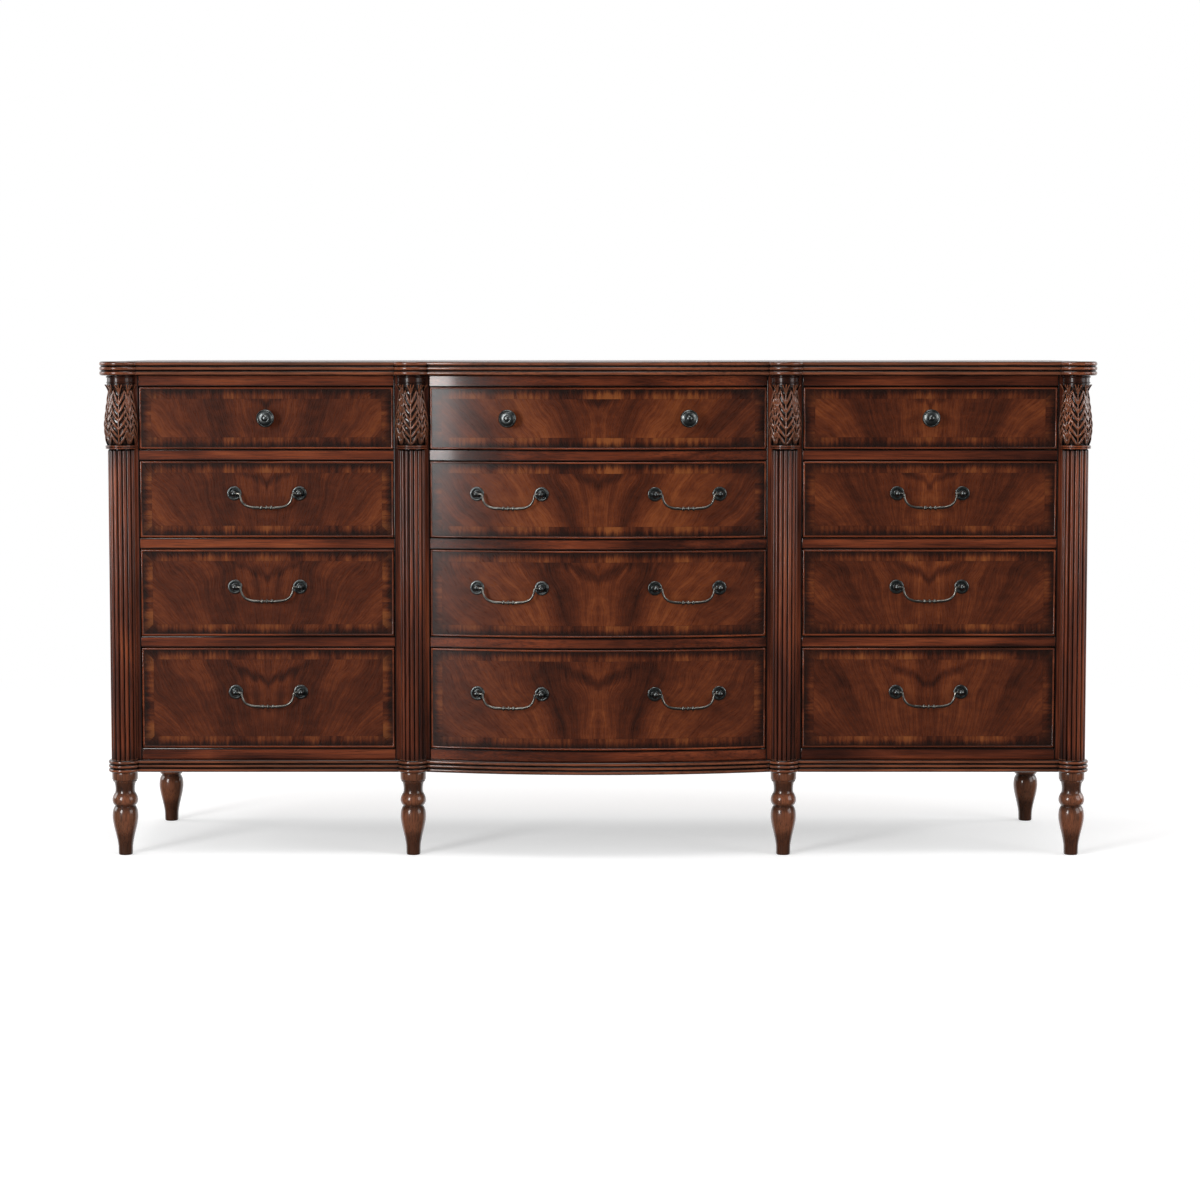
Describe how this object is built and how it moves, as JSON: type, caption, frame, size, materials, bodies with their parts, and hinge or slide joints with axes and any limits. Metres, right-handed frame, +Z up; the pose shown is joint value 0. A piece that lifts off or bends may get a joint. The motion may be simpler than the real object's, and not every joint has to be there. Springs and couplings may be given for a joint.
{
  "type": "dresser",
  "caption": "Wide bow-front dresser in dark mahogany with drawers in three bays between reeded columns, on turned legs, with swinging bail pulls and knobs.",
  "frame": {"origin": "on the floor, under the middle of the whole box", "axes": "+X to the right as seen from the front, +Y towards the back, +Z up"},
  "size_m": [1.9854, 0.5394, 0.99],
  "materials": {
    "mahogany": "satin",
    "crotch_mahogany_veneer": "satin",
    "drawer_wood": "matte",
    "back_panel_wood": "matte",
    "antique_dark_metal": "satin"
  },
  "bodies": {
    "case": {"back_panel": "back_panel_wood", "base_board": "mahogany", "bay_frame_centre": "mahogany", "bay_frame_left": "mahogany", "bay_frame_right": "mahogany", "column_inner_left": "mahogany", "column_inner_right": "mahogany", "column_outer_left": "mahogany", "column_outer_right": "mahogany", "end_panel_left": "crotch_mahogany_veneer", "end_panel_right": "crotch_mahogany_veneer", "leg_front_inner_left": "mahogany", "leg_front_inner_right": "mahogany", "leg_front_outer_left": "mahogany", "leg_front_outer_right": "mahogany", "leg_rear_left": "mahogany", "leg_rear_right": "mahogany", "partition_left": "drawer_wood", "partition_right": "drawer_wood", "top_panel": "mahogany"},
    "drawer_left_1": {"drawer_front_left_1": "crotch_mahogany_veneer", "drawer_box_left_1": "drawer_wood", "knob_left": "antique_dark_metal"},
    "drawer_left_2": {"drawer_front_left_2": "crotch_mahogany_veneer", "drawer_box_left_2": "drawer_wood"},
    "drawer_left_3": {"drawer_front_left_3": "crotch_mahogany_veneer", "drawer_box_left_3": "drawer_wood"},
    "drawer_left_4": {"drawer_front_left_4": "crotch_mahogany_veneer", "drawer_box_left_4": "drawer_wood"},
    "drawer_centre_1": {"drawer_front_centre_1": "crotch_mahogany_veneer", "drawer_box_centre_1": "drawer_wood", "knob_centre_left": "antique_dark_metal", "knob_centre_right": "antique_dark_metal"},
    "drawer_centre_2": {"drawer_front_centre_2": "crotch_mahogany_veneer", "drawer_box_centre_2": "drawer_wood"},
    "drawer_centre_3": {"drawer_front_centre_3": "crotch_mahogany_veneer", "drawer_box_centre_3": "drawer_wood"},
    "drawer_centre_4": {"drawer_front_centre_4": "crotch_mahogany_veneer", "drawer_box_centre_4": "drawer_wood"},
    "drawer_right_1": {"drawer_front_right_1": "crotch_mahogany_veneer", "drawer_box_right_1": "drawer_wood", "knob_right": "antique_dark_metal"},
    "drawer_right_2": {"drawer_front_right_2": "crotch_mahogany_veneer", "drawer_box_right_2": "drawer_wood"},
    "drawer_right_3": {"drawer_front_right_3": "crotch_mahogany_veneer", "drawer_box_right_3": "drawer_wood"},
    "drawer_right_4": {"drawer_front_right_4": "crotch_mahogany_veneer", "drawer_box_right_4": "drawer_wood"},
    "bail_centre_left_2": {"bail_centre_left_2": "antique_dark_metal"},
    "bail_centre_left_3": {"bail_centre_left_3": "antique_dark_metal"},
    "bail_centre_left_4": {"bail_centre_left_4": "antique_dark_metal"},
    "bail_centre_right_2": {"bail_centre_right_2": "antique_dark_metal"},
    "bail_centre_right_3": {"bail_centre_right_3": "antique_dark_metal"},
    "bail_centre_right_4": {"bail_centre_right_4": "antique_dark_metal"},
    "bail_left_2": {"bail_left_2": "antique_dark_metal"},
    "bail_left_3": {"bail_left_3": "antique_dark_metal"},
    "bail_left_4": {"bail_left_4": "antique_dark_metal"},
    "bail_right_2": {"bail_right_2": "antique_dark_metal"},
    "bail_right_3": {"bail_right_3": "antique_dark_metal"},
    "bail_right_4": {"bail_right_4": "antique_dark_metal"}
  },
  "joints": [
    {"name": "slide_left_1", "type": "slide", "parent": "case", "child": "drawer_left_1", "axis": [0, -1, 0], "range_m": [0, 0.3]},
    {"name": "slide_left_2", "type": "slide", "parent": "case", "child": "drawer_left_2", "axis": [0, -1, 0], "range_m": [0, 0.3]},
    {"name": "slide_left_3", "type": "slide", "parent": "case", "child": "drawer_left_3", "axis": [0, -1, 0], "range_m": [0, 0.3]},
    {"name": "slide_left_4", "type": "slide", "parent": "case", "child": "drawer_left_4", "axis": [0, -1, 0], "range_m": [0, 0.3]},
    {"name": "slide_centre_1", "type": "slide", "parent": "case", "child": "drawer_centre_1", "axis": [0, -1, 0], "range_m": [0, 0.3]},
    {"name": "slide_centre_2", "type": "slide", "parent": "case", "child": "drawer_centre_2", "axis": [0, -1, 0], "range_m": [0, 0.3]},
    {"name": "slide_centre_3", "type": "slide", "parent": "case", "child": "drawer_centre_3", "axis": [0, -1, 0], "range_m": [0, 0.3]},
    {"name": "slide_centre_4", "type": "slide", "parent": "case", "child": "drawer_centre_4", "axis": [0, -1, 0], "range_m": [0, 0.3]},
    {"name": "slide_right_1", "type": "slide", "parent": "case", "child": "drawer_right_1", "axis": [0, -1, 0], "range_m": [0, 0.3]},
    {"name": "slide_right_2", "type": "slide", "parent": "case", "child": "drawer_right_2", "axis": [0, -1, 0], "range_m": [0, 0.3]},
    {"name": "slide_right_3", "type": "slide", "parent": "case", "child": "drawer_right_3", "axis": [0, -1, 0], "range_m": [0, 0.3]},
    {"name": "slide_right_4", "type": "slide", "parent": "case", "child": "drawer_right_4", "axis": [0, -1, 0], "range_m": [0, 0.3]},
    {"name": "bail_centre_left_2_swing", "type": "hinge", "parent": "drawer_centre_2", "child": "bail_centre_left_2", "pos_m": [-0.17871, -0.24494, 0.72725], "axis": [-0.9904, 0.1382, 0], "range_deg": [-15, 110]},
    {"name": "bail_centre_left_3_swing", "type": "hinge", "parent": "drawer_centre_3", "child": "bail_centre_left_3", "pos_m": [-0.17871, -0.24494, 0.54025], "axis": [-0.9904, 0.1382, 0], "range_deg": [-15, 110]},
    {"name": "bail_centre_left_4_swing", "type": "hinge", "parent": "drawer_centre_4", "child": "bail_centre_left_4", "pos_m": [-0.17871, -0.24494, 0.32875], "axis": [-0.9904, 0.1382, 0], "range_deg": [-15, 110]},
    {"name": "bail_centre_right_2_swing", "type": "hinge", "parent": "drawer_centre_2", "child": "bail_centre_right_2", "pos_m": [0.17871, -0.24494, 0.72725], "axis": [-0.9904, -0.1382, 0], "range_deg": [-15, 110]},
    {"name": "bail_centre_right_3_swing", "type": "hinge", "parent": "drawer_centre_3", "child": "bail_centre_right_3", "pos_m": [0.17871, -0.24494, 0.54025], "axis": [-0.9904, -0.1382, 0], "range_deg": [-15, 110]},
    {"name": "bail_centre_right_4_swing", "type": "hinge", "parent": "drawer_centre_4", "child": "bail_centre_right_4", "pos_m": [0.17871, -0.24494, 0.32875], "axis": [-0.9904, -0.1382, 0], "range_deg": [-15, 110]},
    {"name": "bail_left_2_swing", "type": "hinge", "parent": "drawer_left_2", "child": "bail_left_2", "pos_m": [-0.6615, -0.214, 0.72725], "axis": [-1, 0, 0], "range_deg": [-15, 110]},
    {"name": "bail_left_3_swing", "type": "hinge", "parent": "drawer_left_3", "child": "bail_left_3", "pos_m": [-0.6615, -0.214, 0.54025], "axis": [-1, 0, 0], "range_deg": [-15, 110]},
    {"name": "bail_left_4_swing", "type": "hinge", "parent": "drawer_left_4", "child": "bail_left_4", "pos_m": [-0.6615, -0.214, 0.32875], "axis": [-1, 0, 0], "range_deg": [-15, 110]},
    {"name": "bail_right_2_swing", "type": "hinge", "parent": "drawer_right_2", "child": "bail_right_2", "pos_m": [0.6615, -0.214, 0.72725], "axis": [-1, 0, 0], "range_deg": [-15, 110]},
    {"name": "bail_right_3_swing", "type": "hinge", "parent": "drawer_right_3", "child": "bail_right_3", "pos_m": [0.6615, -0.214, 0.54025], "axis": [-1, 0, 0], "range_deg": [-15, 110]},
    {"name": "bail_right_4_swing", "type": "hinge", "parent": "drawer_right_4", "child": "bail_right_4", "pos_m": [0.6615, -0.214, 0.32875], "axis": [-1, 0, 0], "range_deg": [-15, 110]}
  ]
}
